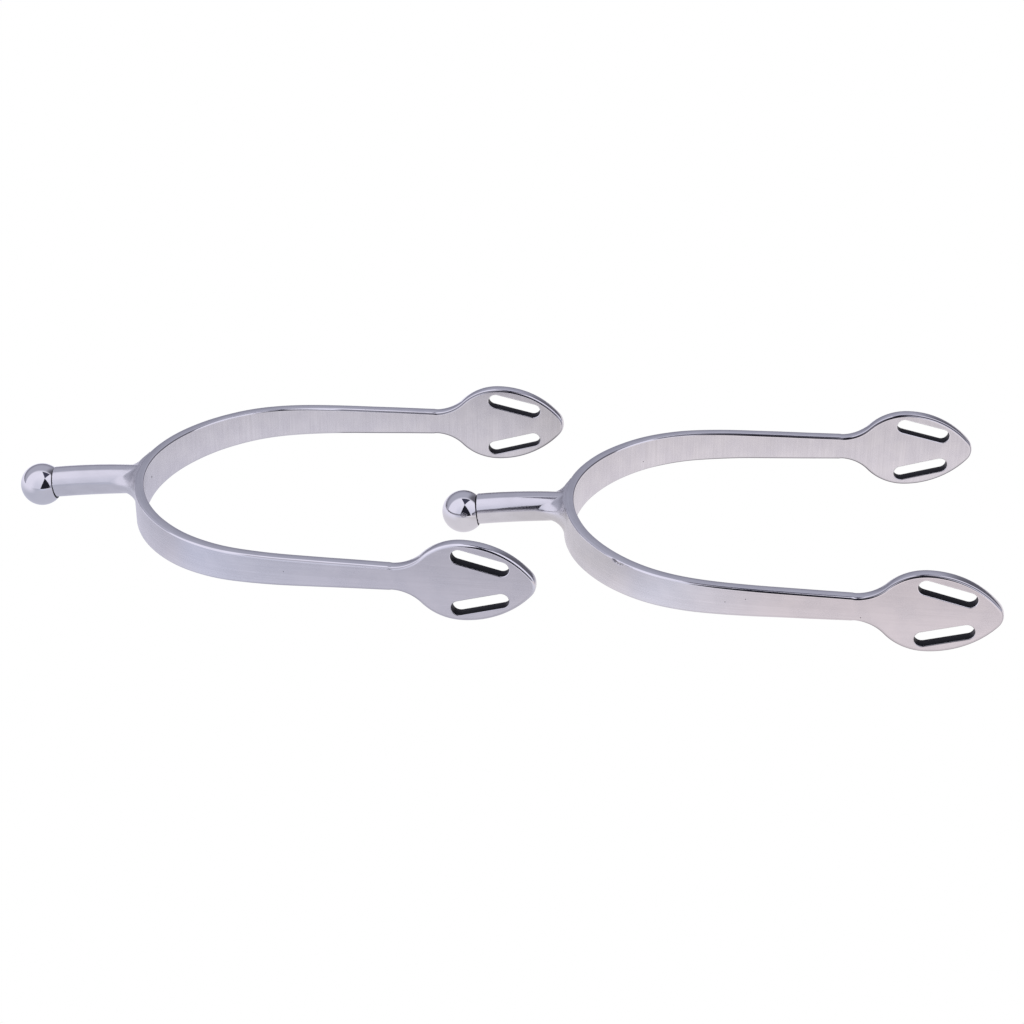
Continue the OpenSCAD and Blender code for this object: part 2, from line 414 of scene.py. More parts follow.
def inside(points, loop):
    """Which points lie inside a closed loop."""
    x, y = points.T[:, :, None]
    x0, y0 = loop.T[:, None, :]
    x1, y1 = np.roll(loop, -1, axis=0).T[:, None, :]
    spans = (y0 > y) != (y1 > y)
    rise = np.where(y1 == y0, 1, y1 - y0)
    crossing = x0 + (y - y0) * (x1 - x0) / rise
    return (np.sum(spans & (x < crossing), axis=1) % 2) == 1


def in_blank(points, rim, holes):
    """Which points lie inside the rim and outside the slots."""
    kept = inside(points, rim)
    for hole in holes:
        kept &= ~inside(points, hole)
    return kept


# Distances are worked out in this many lots, to save memory. Points closer than SAME_POINT are merged.
CHUNKS = 8
SAME_POINT = 1e-6


def clear_of(points, loops, gap):
    """Which points are at least a gap from every point of the loops."""
    kept = np.ones(len(points), bool)
    for loop in loops:
        for part in np.array_split(np.arange(len(points)), CHUNKS):
            away = np.linalg.norm(points[part][:, None, :] - loop[None, :, :], axis=2)
            kept[part] &= away.min(axis=1) > gap
    return kept


def dent_points(dents):
    """Extra points round each dent, so that its hollow is smooth."""
    rings = []
    for dent in dents:
        for ring in range(1, DENT_RINGS + 1):
            radius = ring * dent.radius * DENT_STEP
            count = DENT_LEAST + DENT_MORE * ring
            turn = np.arange(count) * 2 * math.pi / count + ring
            rings.append(np.stack([dent.s + radius * np.cos(turn), dent.z + radius * np.sin(turn)], axis=-1))
    return np.concatenate(rings)


def filling(rim, holes, dents):
    """The points inside a face of the blank, between its rim and its slots."""
    rows = np.arange(-LEAF_H / 2, LEAF_H / 2, ROW_SPACING)
    columns = np.arange(-TIP_S, TIP_S, GRID)
    grid = np.concatenate([
        np.stack([columns + (row % 2) * GRID / 2, 0 * columns + z], axis=-1)
        for row, z in enumerate(rows)
    ])
    extra = dent_points(dents)
    reach = max(dent.radius for dent in dents) * DENT_REACH
    centres = np.array([(dent.s, dent.z) for dent in dents])
    grid = grid[clear_of(grid, [centres], reach)]
    points = np.concatenate([grid, extra])
    points = points[in_blank(points, rim, holes)]
    return points[clear_of(points, [rim, *holes], RIM_GAP)]


def triangles(rim, holes, fill):
    """Triangles over the blank's face, each wound anticlockwise in s and z."""
    loops = [rim, *holes]
    points = np.concatenate([*loops, fill])
    edges = []
    start = 0
    for loop in loops:
        count = len(loop)
        edges += [(start + i, start + (i + 1) % count) for i in range(count)]
        start += count
    made = delaunay_2d_cdt([Vector(p) for p in points], edges, [], 0, SAME_POINT, True)
    names = [origin[0] for origin in made[3]]
    found = np.array([[names[v] for v in face] for face in made[2]])
    corners = points[found]
    found = found[in_blank(corners.mean(axis=1), rim, holes)]
    a, b, c = points[found[:, 0]], points[found[:, 1]], points[found[:, 2]]
    turning = (b - a)[:, 0] * (c - a)[:, 1] - (b - a)[:, 1] * (c - a)[:, 0]
    found[turning < 0] = found[turning < 0][:, ::-1]
    return found


# ---- meshes ----

class Surface:
    """A mesh being put together: points with normals, grain coordinates and painted shade, faces with
    finishes.
    """

    def __init__(self):
        self.points = []
        self.normals = []
        self.grain = []
        self.painted_shades = []
        self.faces = []
        self.finishes = []
        self.count = 0

    def add_points(self, points, normals, grain, painted_shade=0.0):
        """Takes rows of points and returns the index of the first."""
        start = self.count
        self.points.append(points)
        self.normals.append(unit(normals))
        self.grain.append(grain)
        self.painted_shades.append(np.zeros(len(points)) + painted_shade)
        self.count += len(points)
        return start

    def add_faces(self, faces, finish):
        """Takes faces, as rows of point indices, that share a finish."""
        self.faces += [tuple(int(v) for v in face) for face in faces]
        self.finishes += [finish] * len(faces)

    def add_band(self, first, second, count, finish):
        """Quads between two closed rings that start at the given indices."""
        i = np.arange(count)
        j = (i + 1) % count
        self.add_faces(np.stack([first + i, second + i, second + j, first + j], axis=-1), finish)


def lie(side):
    """The matrix that lays a spur, in millimetres, where the frame has it, in metres."""
    spin = next(j for j in frame["joints"] if j["name"] == f"{side}_ball_spin")
    droop = math.atan2(-spin["axis"][2], -spin["axis"][0])
    tip = Matrix.Rotation(math.radians(NECK_DEG) - droop, 4, "Y")
    centre = tip @ Vector(neck_axis(BALL_X))
    return Matrix.Translation(Vector(spin["pos_m"]) - centre * MM) @ tip @ Matrix.Scale(MM, 4)


def neck_axis(distance):
    """The point of the neck's axis at a distance from the middle of the bar."""
    return (-distance * math.cos(DROOP), 0, NECK_Z - distance * math.sin(DROOP))


def finished(surface, side, what, node, materials, body="spur"):
    """Makes one piece of a spur, lays it, ties it to its body and hides its CAD node."""
    name = f"{side}_spur_{what}"
    place = np.array(lie(side))
    points = np.concatenate(surface.points)
    normals = np.concatenate(surface.normals)
    points = points @ place[:3, :3].T + place[:3, 3]
    normals = unit(normals @ place[:3, :3].T)
    mesh = bpy.data.meshes.new(name)
    mesh.from_pydata(points.tolist(), [], surface.faces)
    mesh.polygons.foreach_set("material_index", surface.finishes)
    mesh.polygons.foreach_set("use_smooth", [True] * len(mesh.polygons))
    grain = mesh.attributes.new("grain", "FLOAT_VECTOR", "POINT")
    grain.data.foreach_set("vector", np.concatenate(surface.grain).astype(np.float32).ravel())
    painted_shade = mesh.attributes.new("painted_shade", "FLOAT", "POINT")
    painted_shade.data.foreach_set("value", np.concatenate(surface.painted_shades).astype(np.float32))
    for material in materials:
        mesh.materials.append(material)
    mesh.normals_split_custom_set_from_vertices(normals.tolist())
    piece = bpy.data.objects.new(name, mesh)
    bpy.context.scene.collection.objects.link(piece)
    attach(piece, f"{side}_{body}")
    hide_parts(f"{side}_{node}")


# ---- heel band ----

# The band's finishes, in the order of its materials.
FACE_OUT = 0
FACE_IN = 1
EDGE = 2
WALL = 3
RIM = 4


def face_normals(s, z, face, dents, ripple):
    """Normals of a face, with the slope of its waves and dents."""
    step = 0.01
    along = relief(s + step, z, face, dents, ripple) - relief(s - step, z, face, dents, ripple)
    up = relief(s, z + step, face, dents, ripple) - relief(s, z - step, face, dents, ripple)
    return bend_direction(s, -along / (2 * step), face + 0 * s, -up / (2 * step))


def edge_profile(s, radius):
    """An edge's side view: rows of (degrees from facing out, n, height below the rim).

    The corners are rounded and what is left between them is slightly crowned.
    """
    crown = math.radians(CROWN_DEG)
    half = half_thickness(s)
    wide = (half - radius * (1 - math.sin(crown))) / math.sin(crown)
    end_n = wide * math.sin(crown)
    end_drop = wide * (1 - math.cos(crown))
    rows = []
    for degrees in np.arange(EDGE_RINGS + 1) * (90 - CROWN_DEG) / EDGE_RINGS:
        lean = math.radians(degrees)
        n = end_n - radius * math.sin(crown) + radius * math.cos(lean)
        drop = end_drop + radius * math.cos(crown) - radius * math.sin(lean)
        rows.append((degrees, n, drop))
    for degrees in 90 - CROWN_DEG + np.arange(1, CROWN_RINGS) * 2 * CROWN_DEG / CROWN_RINGS:
        lean = math.radians(degrees)
        rows.append((degrees, wide * math.cos(lean), wide * (1 - math.sin(lean))))
    mirror = [(180 - degrees, -n, drop) for degrees, n, drop in rows[EDGE_RINGS::-1]]
    return rows + mirror


def edge_rings(surface, loop, radius, dents, ripple, wall, lines=()):
    """Rolls a rounded edge along a loop, from the outer face to the inner, and returns both rims."""
    left = left_of(loop)
    starts = []
    profile = edge_profile(loop[:, 0], radius)
    for degrees, n, drop in profile:
        lean = math.sin(math.radians(degrees))
        facing = math.cos(math.radians(degrees))
        flat = loop - left * drop[:, None]
        s, z = flat[:, 0], flat[:, 1]
        face = OUTER if facing > 0 else INNER
        n = n + facing * relief(s, z, face, dents, ripple)
        normals = bend_direction(s, left[:, 0] * lean, facing + 0 * s, left[:, 1] * lean)
        if degrees in (0, 180):
            normals = face_normals(s, z, face, dents, ripple)
        # Painted shade: darker in the dents and along the dark lines painted on the corners.
        painted_shade = np.maximum(painted_shades(s, z, face, dents), corner_painted_shade(s, degrees, face, lines))
        starts.append(surface.add_points(bend(s, n, z), normals, np.stack([s, z, n], axis=-1), painted_shade))
    wall_from = WALL_FROM if wall == WALL else 90 - CROWN_DEG
    for ring in range(len(starts) - 1):
        steep = min(profile[ring][0], 180 - profile[ring + 1][0]) >= wall_from
        surface.add_band(starts[ring], starts[ring + 1], len(loop), wall if steep else RIM)
    return starts[0], starts[-1]


def add_face(surface, face, finish, fill, found, rims, dents, ripple):
    """Fills one face of the band between its rims, given as (index of the first point, count)."""
    s, z = fill[:, 0], fill[:, 1]
    n = face * (half_thickness(s) + relief(s, z, face, dents, ripple))
    normals = face_normals(s, z, face, dents, ripple)
    painted_shade = painted_shades(s, z, face, dents)
    first = surface.add_points(bend(s, n, z), normals, np.stack([s, z, n], axis=-1), painted_shade)
    index = np.concatenate([start + np.arange(count) for start, count in [*rims, (first, len(fill))]])
    wound = found[:, ::-1] if face == OUTER else found
    surface.add_faces(index[wound], finish)


def heel_band(side, materials):
    """The bent bar with its two leaves, each with two slots."""
    rng = np.random.default_rng(SEED + SIDES.index(side))
    rim = outline(rng)
    holes = [slot_loop(end, level) for end in (-1, 1) for level in (-1, 1)]
    ripple = waves(rng)
    dents = DENTS[side]
    surface = Surface()
    loops = [rim, *holes]
    radii = [edge_radius(rim[:, 0])] + [np.full(len(hole), SLOT_EDGE) for hole in holes]
    walls = [EDGE] + [WALL] * len(holes)
    # Dark lines of painted shade go on the outline's corners only, not round the slots.
    lines = [PAINTED_CORNER_SHADE[side]] + [()] * len(holes)
    starts = [
        edge_rings(surface, loop, radius, dents, ripple, wall, line)
        for loop, radius, wall, line in zip(loops, radii, walls, lines)
    ]
    drops = [edge_profile(loop[:, 0], radius)[0][2] for loop, radius in zip(loops, radii)]
    flats = [loop - left_of(loop) * drop[:, None] for loop, drop in zip(loops, drops)]
    fill = filling(flats[0], flats[1:], dents)
    found = triangles(flats[0], flats[1:], fill)
    for face, pick, finish in ((OUTER, 0, FACE_OUT), (INNER, 1, FACE_IN)):
        rims = [(start[pick], len(loop)) for start, loop in zip(starts, loops)]
        add_face(surface, face, finish, fill, found, rims, dents, ripple)
    finished(surface, side, "band", "heel_band", materials)


# ---- neck ----

NECK_START = HEEL_T / 2
NECK_END = NECK_START + NECK_L
BALL_X = NECK_END + SEAM_GAP + math.sqrt(BALL_R ** 2 - NECK_END_R ** 2)
DROOP = math.radians(NECK_DEG)


def neck_radius(ax):
    """Radius of the neck at a distance along its axis."""
    u = np.clip((ax - NECK_START) / NECK_L, 0, 1)
    return NECK_ROOT_R * (1 - u) * (1 - 2 * u) + 4 * NECK_MID_R * u * (1 - u) + NECK_END_R * u * (2 * u - 1)


# The least curvature that the band is taken to have, as a share of its bend.
NEARLY_FLAT = 1e-4


def weld_radius(turn):
    """Radius of the weld fillet at an angle round the neck, counted from the top."""
    across = np.square(np.sin(turn))
    upright = np.where(np.cos(turn) > 0, WELD_TOP_R, WELD_BELOW_R)
    return upright + (WELD_R - upright) * across ** WELD_SHARPNESS


def fillet(turn, share):
    """Radius and distance along the axis of the weld, from its foot (0) to the neck's side (1)."""
    weld = weld_radius(turn)
    outer = (HEEL_R + HEEL_T / 2) / np.maximum(np.square(np.sin(turn)), NEARLY_FLAT)
    middle = NECK_START - outer + np.sqrt((outer + weld) ** 2 - (NECK_ROOT_R + weld) ** 2)
    lean = np.arcsin((NECK_ROOT_R + weld) / (outer + weld))
    angle = (1.5 * math.pi - lean) + (math.pi - 1.5 * math.pi + lean) * share
    radius = NECK_ROOT_R + weld + weld * np.cos(angle)
    ax = middle + weld * np.sin(angle)
    radius = radius + neck_radius(ax) - NECK_ROOT_R
    ax = ax - radius * np.cos(turn) * math.tan(DROOP) * (1 - share)
    return radius, ax


def soft_trim(z, level):
    """z, kept under a level with a small rounded corner."""
    return level - TRIM_SOFT * np.logaddexp(0, (level - z) / TRIM_SOFT)


def neck_place(radius, ax, turn):
    """A point of the neck, given round its axis, bowed upwards and trimmed to the band's height."""
    u = np.clip((ax - NECK_START) / NECK_L, 0, 1)
    up = radius * np.cos(turn) + BOW_RISE * u - BOW_FALL * u * u
    x = -ax * math.cos(DROOP) - up * math.sin(DROOP)
    y = radius * np.sin(turn)
    z = NECK_Z - ax * math.sin(DROOP) + up * math.cos(DROOP)
    level = bar_height(np.hypot(x, y)) / 2 - WELD_FLUSH
    z = soft_trim(z, level)
    z = -soft_trim(-z, level)
    return np.stack([x, y, z], axis=-1)


def neck_skin(turn, share):
    """A point of the neck's skin: share 0 to 1 is the weld, 1 to 2 the neck up to its end."""
    radius, ax = fillet(turn, np.minimum(share, 1))
    body = np.maximum(share - 1, 0)
    ahead = ax + (NECK_END - ax) * body
    radius = np.where(share > 1, neck_radius(ahead), radius)
    return neck_place(radius, ahead, turn)


def skin_normals(turn, share):
    """Normals of the neck's skin, by small steps round it and along it."""
    step = 1e-4
    around = neck_skin(turn + step, share) - neck_skin(turn - step, share)
    along = neck_skin(turn, share + step) - neck_skin(turn, share - step)
    return np.cross(around, along)


def neck_grain(turn, ax, radius):
    """The neck's grain coordinates: how far along it, across it and up it."""
    return np.stack([ax + 0 * turn, radius * np.sin(turn), radius * np.cos(turn)], axis=-1)


# The neck's finishes, in the order of its materials.
SKIN = 0
SEAM = 1

# Shares of the neck's skin: just off its foot, and how far along its side the last ring is.
FOOT_SHARE = 1e-3
SIDE_SHARE = 0.99


def add_side(surface, turn):
    """Rings from the neck's foot, sunk in the band, up the weld and along the side."""
    foot, foot_ax = fillet(turn, 0 * turn)
    sunk = neck_place(foot, foot_ax - WELD_SINK, turn)
    normals = skin_normals(turn, 0 * turn + FOOT_SHARE)
    starts = [surface.add_points(sunk, normals, neck_grain(turn, foot_ax - WELD_SINK, foot))]
    shares = list(np.arange(FILLET_RINGS) / FILLET_RINGS)
    shares += list(1 + np.arange(NECK_RINGS + 1) / NECK_RINGS * SIDE_SHARE)
    for share in shares:
        radius, ax = fillet(turn, min(share, 1) + 0 * turn)
        ahead = ax + (NECK_END - ax) * max(share - 1, 0)
        radius = np.where(share > 1, neck_radius(ahead), radius)
        points = neck_skin(turn, share + 0 * turn)
        normals = skin_normals(turn, max(share, FOOT_SHARE) + 0 * turn)
        starts.append(surface.add_points(points, normals, neck_grain(turn, ahead, radius)))
    return starts


def add_bevel(surface, turn, rng):
    """Rings round the neck's end, bevelled unevenly and most of all below."""
    ragged = sum(np.sin(k * turn + rng.uniform(0, 2 * math.pi)) for k in SEAM_RATES) / len(SEAM_RATES)
    low = (1 - np.cos(turn)) / 2
    bevel = np.maximum(SEAM_BEVEL + (SEAM_RAGGED + SEAM_RAGGED_LOW * low) * ragged, SEAM_LEAST)
    starts = []
    for step in range(SEAM_RINGS):
        angle = math.radians(90 * step / (SEAM_RINGS - 1))
        radius = NECK_END_R - bevel * (1 - math.cos(angle))
        ax = NECK_END - bevel * (1 - math.sin(angle))
        points = neck_place(radius, ax, turn)
        away = neck_place(radius + math.cos(angle), ax + math.sin(angle), turn) - points
        starts.append(surface.add_points(points, away, neck_grain(turn, ax, radius)))
    return starts


def add_bore(surface, turn):
    """Rings over the end's face and down the bore that the pin is pressed into."""
    wall = PIN_R + PRESS
    mouth = NECK_END - BORE_LIP
    bottom = NECK_END - PIN_GRIP - PRESS
    starts = []
    for radius, ax, inward, ahead in (
        (PIN_R + SEAM_FACE, NECK_END, 0, 1),
        (wall, NECK_END, 0, 1),
        (wall, mouth, 1, 0),
        (wall, bottom, 1, 0),
        (PIN_R / 2, bottom, 0, 1),
    ):
        points = round_place(radius, ax, turn)
        away = round_place(radius - inward * 0.5, ax + ahead, turn) - points
        starts.append(surface.add_points(points, away, neck_grain(turn, ax, radius + 0 * turn)))
    return starts


def neck(side, materials):
    """The neck with its weld, its bevelled end and its bore, as one closed mesh."""
    rng = np.random.default_rng(SEED + 10 + SIDES.index(side))
    turn = np.arange(NECK_TURN) * 2 * math.pi / NECK_TURN
    surface = Surface()
    starts = add_side(surface, turn) + add_bevel(surface, turn, rng)
    dirty = len(starts) - DIRTY_RINGS
    starts += add_bore(surface, turn)
    for ring in range(len(starts) - 1):
        finish = SEAM if ring >= dirty else SKIN
        surface.add_band(starts[ring + 1], starts[ring], NECK_TURN, finish)
    closed = [starts[0] + np.arange(NECK_TURN)[::-1], starts[-1] + np.arange(NECK_TURN)]
    surface.add_faces(closed, SEAM)
    finished(surface, side, "neck", "neck", materials)


# ---- ball and pin ----

def turned(profile, finishes):
    """A solid turned round the neck's axis, from (radius, distance) rows with its outside on their left."""
    profile = np.array(profile)
    count = len(profile)
    ahead = np.roll(profile, -1, axis=0) - profile
    normal = np.stack([-ahead[:, 1], ahead[:, 0]], axis=-1)
    normal = normal + np.roll(normal, 1, axis=0)
    turn = np.arange(ROUND_TURN) * 2 * math.pi / ROUND_TURN
    surface = Surface()
    starts = []
    for (radius, ax), (lean, push) in zip(profile, normal):
        points = round_place(radius, ax, turn)
        away = round_place(radius + lean, ax + push, turn) - points
        grain = np.stack([ax - BALL_X + 0 * turn, radius * np.sin(turn), radius * np.cos(turn)], axis=-1)
        starts.append(surface.add_points(points, away, grain))
    for ring in range(count):
        surface.add_band(starts[ring], starts[(ring + 1) % count], ROUND_TURN, finishes[ring])
    return surface


def round_place(radius, ax, turn):
    """A point round the straight axis that the ball turns on."""
    up = radius * np.cos(turn)
    x = -ax * math.cos(DROOP) - up * math.sin(DROOP)
    z = NECK_Z - ax * math.sin(DROOP) + up * math.cos(DROOP)
    return np.stack([x, radius * np.sin(turn), z], axis=-1)


def corner(centre, radius, start, end):
    """Points of a small rounded corner, in (radius, distance along the axis)."""
    angles = np.radians(start + (end - start) * np.arange(CORNER_ROWS) / (CORNER_ROWS - 1))
    return [(centre[0] + radius * math.cos(a), centre[1] + radius * math.sin(a)) for a in angles]


def sphere_rows(start, end, count):
    """Points of the ball's side view, between two angles from its equator."""
    angles = np.radians(start + (end - start) * np.arange(count) / (count - 1))
    return [(BALL_R * math.cos(a), BALL_X + BALL_R * math.sin(a)) for a in angles]


# The ball's finishes, in the order of its materials.
MIRROR = 0
GAP = 1


def ball(side, materials):
    """The ball, with its flat at the seam, its bore and the recess for the pin's head."""
    flat = NECK_END + SEAM_GAP
    bore = PIN_R + SPIN_GAP
    recess = PIN_HEAD_R + SPIN_GAP
    bottom = BALL_X + BALL_R - HEAD_DEPTH
    seam_deg = -math.degrees(math.acos(NECK_END_R / BALL_R))
    head_deg = math.degrees(math.acos(recess / BALL_R))
    lip = BALL_X + BALL_R * math.sin(math.radians(head_deg))
    rows = [(bore, bottom)]
    rows += corner((bore + BALL_RIM, flat + BALL_RIM), BALL_RIM, 180, 270)
    rows += corner((NECK_END_R - BALL_RIM, flat + BALL_RIM), BALL_RIM, 270, 360 + seam_deg)
    skin_start = len(rows) - 1
    rows += sphere_rows(seam_deg + 1, head_deg - LIP_DEG, BALL_ROWS)
    skin_end = len(rows)
    rows += [(recess, lip - LIP_DROP), (recess, bottom + RECESS_RIM), (recess - RECESS_RIM, bottom)]
    finishes = [MIRROR if skin_start <= row < skin_end - 1 else GAP for row in range(len(rows))]
    surface = turned(rows[::-1], finishes[::-1][1:] + [GAP])
    finished(surface, side, "ball", "ball", materials, body="ball_turning")


def ball_pin(side, materials):
    """The headed pin that holds the ball to the neck, its domed head flush with the ball."""
    under = BALL_X + BALL_R - HEAD_DEPTH + SEAM_GAP
    foot = NECK_END - PIN_GRIP
    dome_deg = math.degrees(math.acos(PIN_HEAD_R / BALL_R))
    top = BALL_X + BALL_R * math.sin(math.radians(dome_deg))
    side_r = PIN_HEAD_R - HEAD_RIM
    rows = [(AXIS_R, foot), (PIN_R - PIN_CHAMFER, foot), (PIN_R, foot + PIN_CHAMFER), (PIN_R, under)]
    rows += corner((side_r, under + HEAD_RIM), HEAD_RIM, 270, 360)
    rows += corner((side_r, top - HEAD_RIM), HEAD_RIM, 0, dome_deg)
    rows += sphere_rows(dome_deg + 1, POLE_DEG, DOME_ROWS)
    surface = turned(rows[::-1], [MIRROR] * len(rows))
    finished(surface, side, "pin", "ball_pin", materials)


# ---- shader helpers ----

def plug(tree, socket, value):
    """Links a socket into an input, or sets the input's own value."""
    if isinstance(value, bpy.types.NodeSocket):
        tree.links.new(value, socket)
    else:
        socket.default_value = value


def add(tree, kind, sockets=None, **settings):
    """A shader node with its settings and inputs filled in."""
    made = tree.nodes.new(f"ShaderNode{kind}")
    for name, value in settings.items():
        setattr(made, name, value)
    for name, value in (sockets or {}).items():
        plug(tree, made.inputs[name], value)
    return made


def new_material(name):
    """An empty material and its node tree."""
    material = bpy.data.materials.new(name)
    material.use_nodes = True
    material.node_tree.nodes.clear()
    return material, material.node_tree


def put_out(tree, shader, kind="OutputMaterial"):
    """Sends a shader to the output."""
    tree.links.new(shader.outputs[0], add(tree, kind).inputs["Surface"])


def calc(tree, operation, a, b):
    """One sum on two values."""
    return add(tree, "Math", {0: a, 1: b}, operation=operation).outputs[0]


def ramped(tree, value, low, high, start=0.0, end=1.0):
    """A value mapped smoothly from one range to another, and held outside it."""
    made = add(tree, "MapRange", interpolation_type="SMOOTHSTEP")
    for name, given in (("Value", value), ("From Min", low), ("From Max", high)):
        plug(tree, made.inputs[name], given)
    plug(tree, made.inputs["To Min"], start)
    plug(tree, made.inputs["To Max"], end)
    return made.outputs["Result"]


def ramped_evenly(tree, value, low, high):
    """A value mapped evenly to the range 0 to 1."""
    return add(tree, "MapRange", {"Value": value, "From Min": low, "From Max": high}).outputs["Result"]


def mixed(tree, share, a, b):
    """Two colours mixed."""
    made = add(tree, "Mix", data_type="RGBA")
    plug(tree, made.inputs[0], share)
    plug(tree, made.inputs[6], a)
    plug(tree, made.inputs[7], b)
    return made.outputs[2]


def scaled(tree, vector, by):
    """A vector or colour multiplied by another, or by a value."""
    return add(tree, "VectorMath", {0: vector, 1: by}, operation="MULTIPLY").outputs[0]


def along(tree, vector, direction):
    """How far a vector reaches in a direction."""
    return add(tree, "VectorMath", {0: vector, 1: direction}, operation="DOT_PRODUCT").outputs["Value"]


def noise(tree, vector, scale, detail):
    """Cloudy noise from 0 to 1."""
    return add(tree, "TexNoise", {"Vector": vector, "Scale": scale, "Detail": detail}).outputs["Fac"]


# ---- steel ----

# How far below and above the bar's middle the painted shade by height spreads, and how far along the neck
# its ground foot reaches, in mm.
HEIGHT_SHADE_REACH = 6
WELD_REACH = 5.5

# The scale of the broad lines against the fine ones, what share each has, the scale of the blotches per
# mm, the span of noise that counts, and the roughness that lines and blotches take away or add.
BROAD_SCALE = 0.28
FINE_SHARE = 0.6
BROAD_SHARE = 0.4
BLOTCH_SCALE = 0.22
NOISE_SPAN = (0.3, 0.7)
LINE_ROUGH = (-0.03, 0.03)
BLOTCH_ROUGH = (-0.02, 0.03)

# The colour of the painted shade in the dents and along the corners' dark lines, and the values of its
# per-point attribute between which it comes in.
PAINTED_SHADE_COLOUR = (0.05, 0.045, 0.055, 1)
PAINTED_SHADE_SPAN = (0.2, 0.8)


def steel(name, tint, worn, roughness, grain, line_bump, blotch_bump, line_shade=0.06, painted_height_shade=0.0, ground=0.0):
    """Steel whose brushing runs with the grain: tint to worn over wide blotches, fine lines across."""
    material, tree = new_material(name)
    place = add(tree, "Attribute", attribute_name="grain").outputs["Vector"]
    fine = noise(tree, scaled(tree, place, grain), 1.0, 3.0)
    broad = noise(tree, scaled(tree, place, [BROAD_SCALE * g for g in grain]), 1.0, 2.0)
    blotch = noise(tree, place, BLOTCH_SCALE, 3.0)
    fine_part = calc(tree, "MULTIPLY", fine, FINE_SHARE)
    lines = calc(tree, "ADD", fine_part, calc(tree, "MULTIPLY", broad, BROAD_SHARE))
    base = mixed(tree, ramped(tree, blotch, *NOISE_SPAN), tint, worn)
    shade = ramped(tree, lines, *NOISE_SPAN, 1 - line_shade, 1 + line_shade)
    # Painted shade by height: darker above the bar's middle and lighter below, the other way for a negative
    # amount.
    height_shading = ramped(tree, along(tree, place, (0, 1, 0)), -HEIGHT_SHADE_REACH, HEIGHT_SHADE_REACH, 1 + painted_height_shade, 1 - painted_height_shade)
    base = scaled(tree, base, calc(tree, "MULTIPLY", shade, height_shading))
    # Painted shade: near black in the dents and along the corners' dark lines.
    painted_shade = add(tree, "Attribute", attribute_name="painted_shade").outputs["Fac"]
    base = mixed(tree, ramped(tree, painted_shade, *PAINTED_SHADE_SPAN), base, PAINTED_SHADE_COLOUR)
    rough = calc(tree, "ADD", ramped(tree, lines, *NOISE_SPAN, *LINE_ROUGH), roughness)
    rough = calc(tree, "ADD", ramped(tree, blotch, *NOISE_SPAN, *BLOTCH_ROUGH), rough)
    weld = ramped(tree, along(tree, place, (1, 0, 0)), WELD_REACH, HEEL_T, 0, ground)
    rough = calc(tree, "ADD", rough, weld)
    bump = add(tree, "Bump", {"Height": lines, "Strength": 1.0, "Distance": line_bump * MM})
    bump = add(tree, "Bump", {"Height": blotch, "Distance": blotch_bump * MM, "Normal": bump.outputs[0]})
    shader = add(tree, "BsdfPrincipled", {
        "Base Color": base, "Metallic": 1.0, "Roughness": rough, "Normal": bump.outputs[0],
    })
    put_out(tree, shader)
    return material


# The near-black gaps: their mottling per mm, the shade's gain where it is palest, and their surface.
MOTTLE_SCALE = 2.5
MOTTLE_DETAIL = 4.0
MOTTLE_SPAN = (0.35, 0.7)
MOTTLE_PALER = 2.2
MOTTLE_BUMP = 0.03
MOTTLE_METAL = 0.6
MOTTLE_ROUGH = 0.55


def dark_gap(name, shade):
    """Near-black steel in a gap, mottled."""
    material, tree = new_material(name)
    place = add(tree, "Attribute", attribute_name="grain").outputs["Vector"]
    spots = noise(tree, place, MOTTLE_SCALE, MOTTLE_DETAIL)
    paler = [MOTTLE_PALER * c for c in shade[:3]] + [1]
    base = mixed(tree, ramped(tree, spots, *MOTTLE_SPAN), shade, paler)
    bump = add(tree, "Bump", {"Height": spots, "Distance": MOTTLE_BUMP * MM})
    shader = add(tree, "BsdfPrincipled", {
        "Base Color": base, "Metallic": MOTTLE_METAL, "Roughness": MOTTLE_ROUGH, "Normal": bump.outputs[0],
    })
    put_out(tree, shader)
    return material


# ---- studio ----

VIEW_AZIMUTH = 4.41
VIEW_ELEVATION = 27.192
VIEW_ROLL = -1.808
VIEW_DISTANCE = 0.578
VIEW_TARGET = (0.00292, 0.01154, 0.0)
LENS = 81.77
SENSOR = 36
NEAR_CLIP = 0.01
FAR_CLIP = 20

AZ = math.radians(VIEW_AZIMUTH)
EL = math.radians(VIEW_ELEVATION)
TOWARD = (math.sin(AZ), -math.cos(AZ), 0)
RIGHTWARD = (math.cos(AZ), math.sin(AZ), 0)

# Painted light and shade that the glowing table shows to reflections, along it from left to right, in
# metres: in front of the spurs and between them.
FRONT_STOPS = (
    (-0.12, (0.58, 0.59, 0.71, 1)),
    (-0.085, (0.75, 0.78, 0.97, 1)),
    (-0.06, (0.69, 0.70, 0.84, 1)),
    (-0.03, (0.68, 0.67, 0.79, 1)),
    (0.01, (0.66, 0.64, 0.73, 1)),
    (0.03, (0.88, 0.88, 1.0, 1)),
    (0.07, (0.90, 0.82, 0.86, 1)),
)
MIDDLE_STOPS = (
    (-0.12, (0.60, 0.61, 0.73, 1)),
    (-0.085, (0.66, 0.65, 0.76, 1)),
    (-0.065, (0.82, 0.80, 0.89, 1)),
    (0.0, (0.82, 0.79, 0.85, 1)),
    (0.012, (0.72, 0.69, 0.72, 1)),
    (0.024, (0.86, 0.82, 0.88, 1)),
    (0.05, (0.93, 0.88, 0.93, 1)),
)
FRONT_HIGH = (1.0, 0.98, 1.14, 1)
FRONT_LOW = (0.80, 0.80, 0.95, 1)
LEFT_LIGHT = (0.98, 0.96, 1.12, 1)
RIGHT_SHADE = (0.15, 0.145, 0.18, 1)
BACK_HIGH = (0.50, 0.50, 0.61, 1)
BACK_LOW = (0.29, 0.285, 0.36, 1)
